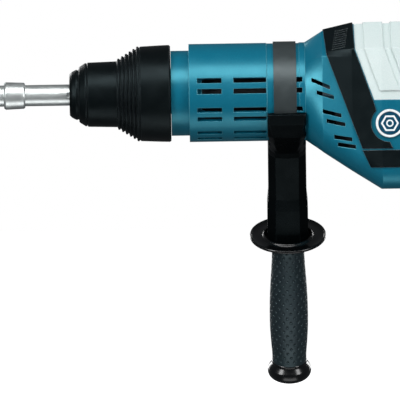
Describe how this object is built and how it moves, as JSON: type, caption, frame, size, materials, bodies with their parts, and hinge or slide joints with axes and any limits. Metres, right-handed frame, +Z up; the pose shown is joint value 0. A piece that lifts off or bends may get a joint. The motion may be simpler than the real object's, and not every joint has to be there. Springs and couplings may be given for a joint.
{
  "type": "electric jackhammer",
  "caption": "Corded electric demolition and rotary hammer with a grooved-shank chisel, sliding locking sleeve, slotted barrel, swivelling side handle and sprung D-shaped rear handle",
  "frame": {"origin": "on the spindle axis, in the plane of the barrel's front shoulder", "axes": "-X points out of the tool holder along the chisel, +X towards the rear handle, +Z up, +Y the side that the side handle leans towards"},
  "size_m": [0.81, 0.2019, 0.3189],
  "materials": {
    "teal_metal": "satin",
    "silver_paint": "satin",
    "black_rubber": "matte",
    "black_plastic": "satin",
    "gloss_black": "gloss",
    "bright_steel": "satin",
    "gear_steel": "machined",
    "bearing_steel": "polished",
    "laminated_steel": "matte",
    "copper": "satin",
    "carbon": "matte",
    "red_plastic": "satin"
  },
  "bodies": {
    "housing": {"front_housing": "teal_metal", "front_bearing": "bearing_steel", "front_seal": "black_rubber", "gear_housing": "teal_metal", "rear_spindle_bearing": "bearing_steel", "crankcase_cover": "silver_paint", "cover_screws": "bright_steel", "bumper_band": "black_rubber", "side_strips": "black_rubber", "badge": "gloss_black", "motor_housing": "teal_metal", "end_cover": "black_plastic", "housing_screws": "bright_steel", "stator_core": "laminated_steel", "field_coils": "copper", "brush_holders": "black_plastic", "carbon_brushes": "carbon", "motor_bearings": "bearing_steel", "gearbox_bearings": "bearing_steel"},
    "spindle": {"tool_holder": "gear_steel", "hammer_tube": "gear_steel", "spindle_gear": "gear_steel", "locking_rollers": "bearing_steel", "dust_cap": "black_rubber", "chuck_ring": "black_plastic"},
    "sleeve": {"locking_sleeve": "black_plastic", "release_ring": "gear_steel", "sleeve_spring": "bearing_steel"},
    "bit": {"chisel": "bright_steel"},
    "rotor": {"armature_shaft": "gear_steel", "armature_core": "laminated_steel", "commutator": "copper", "cooling_fan": "black_plastic"},
    "crank": {"crank_gear": "gear_steel", "crank_shaft": "gear_steel"},
    "lay": {"layshaft": "gear_steel", "clutch_gear": "gear_steel"},
    "ram": {"piston": "bright_steel", "piston_ring": "black_rubber", "wrist_pin": "bearing_steel"},
    "rod": {"connecting_rod": "gear_steel"},
    "hammer": {"striker": "gear_steel"},
    "anvil": {"impact_bolt": "gear_steel"},
    "selector": {"mode_selector": "black_plastic"},
    "rear_handle": {"handle_shell_left": "black_plastic", "handle_shell_right": "black_plastic", "grip_overmould": "black_rubber", "trigger_switch": "black_plastic", "cable_gland": "black_rubber", "damper_rods": "bearing_steel", "damper_springs": "bearing_steel", "handle_bellows": "black_rubber"},
    "switch_trigger": {"trigger": "red_plastic"},
    "lock": {"lock_button": "red_plastic"},
    "dial": {"speed_wheel": "black_plastic"},
    "swivel": {"clamp_band": "gear_steel", "handle_yoke": "black_plastic", "tension_bolt": "bright_steel"},
    "grip": {"side_grip": "black_rubber"}
  },
  "joints": [
    {"name": "crank_turn", "type": "hinge", "parent": "housing", "child": "crank", "pos_m": [0.2, 0, 0], "axis": [0, 0, 1], "continuous": true},
    {"name": "motor_spin", "type": "hinge", "parent": "housing", "child": "rotor", "pos_m": [0.25, 0, -0.008], "axis": [1, 0, 0], "continuous": true},
    {"name": "layshaft_turn", "type": "hinge", "parent": "housing", "child": "lay", "pos_m": [0.16325, 0, 0], "axis": [0, 0, 1], "continuous": true},
    {"name": "spindle_turn", "type": "hinge", "parent": "housing", "child": "spindle", "pos_m": [0, 0, 0], "axis": [1, 0, 0], "continuous": true},
    {"name": "sleeve_slide", "type": "slide", "parent": "spindle", "child": "sleeve", "axis": [1, 0, 0], "range_m": [0, 0.012], "stiffness_N_per_m": 1500, "springref_m": -0.008, "deforming": ["sleeve_spring"]},
    {"name": "bit_slide", "type": "slide", "parent": "spindle", "child": "bit", "axis": [1, 0, 0], "range_m": [-0.012, 0]},
    {"name": "piston_slide", "type": "slide", "parent": "housing", "child": "ram", "axis": [1, 0, 0], "range_m": [0, 0.034]},
    {"name": "conrod_swing", "type": "hinge", "parent": "ram", "child": "rod", "pos_m": [0.105, 0, 0], "axis": [0, 0, 1], "range_deg": [-12, 12]},
    {"name": "striker_slide", "type": "slide", "parent": "housing", "child": "hammer", "axis": [1, 0, 0], "range_m": [-0.0095, 0]},
    {"name": "impact_bolt_slide", "type": "slide", "parent": "housing", "child": "anvil", "axis": [1, 0, 0], "range_m": [0, 0.006]},
    {"name": "selector_turn", "type": "hinge", "parent": "housing", "child": "selector", "pos_m": [0.2485, 0, 0.0568], "axis": [0, 0, 1], "range_deg": [0, 90]},
    {"name": "handle_damping", "type": "slide", "parent": "housing", "child": "rear_handle", "axis": [1, 0, 0], "range_m": [-0.008, 0], "stiffness_N_per_m": 9000, "springref_m": 0.004, "deforming": ["handle_bellows", "damper_springs"]},
    {"name": "trigger_pull", "type": "hinge", "parent": "rear_handle", "child": "switch_trigger", "pos_m": [0.467, 0, 0.024], "axis": [0, -1, 0], "range_deg": [0, 9], "stiffness_Nm_per_rad": 1.2, "springref_deg": -14.32},
    {"name": "lock_button_press", "type": "slide", "parent": "rear_handle", "child": "lock", "axis": [0, 1, 0], "range_m": [0, 0.003], "stiffness_N_per_m": 600, "springref_m": -0.003},
    {"name": "speed_wheel_turn", "type": "hinge", "parent": "rear_handle", "child": "dial", "pos_m": [0.432, 0, 0.044], "axis": [0, 1, 0], "range_deg": [0, 270]},
    {"name": "side_handle_swivel", "type": "hinge", "parent": "housing", "child": "swivel", "pos_m": [0.0825, 0, 0], "axis": [1, 0, 0], "continuous": true},
    {"name": "side_grip_turn", "type": "hinge", "parent": "swivel", "child": "grip", "pos_m": [0.0825, 0.06455, -0.1214], "axis": [0, 0.4695, -0.8829], "range_deg": [0, 540]}
  ],
  "couplings": [
    {"joint": "motor_spin", "follows": "crank_turn", "ratio": 6},
    {"joint": "layshaft_turn", "follows": "crank_turn", "ratio": -0.4},
    {"joint": "spindle_turn", "follows": "crank_turn", "ratio": 0.1}
  ]
}
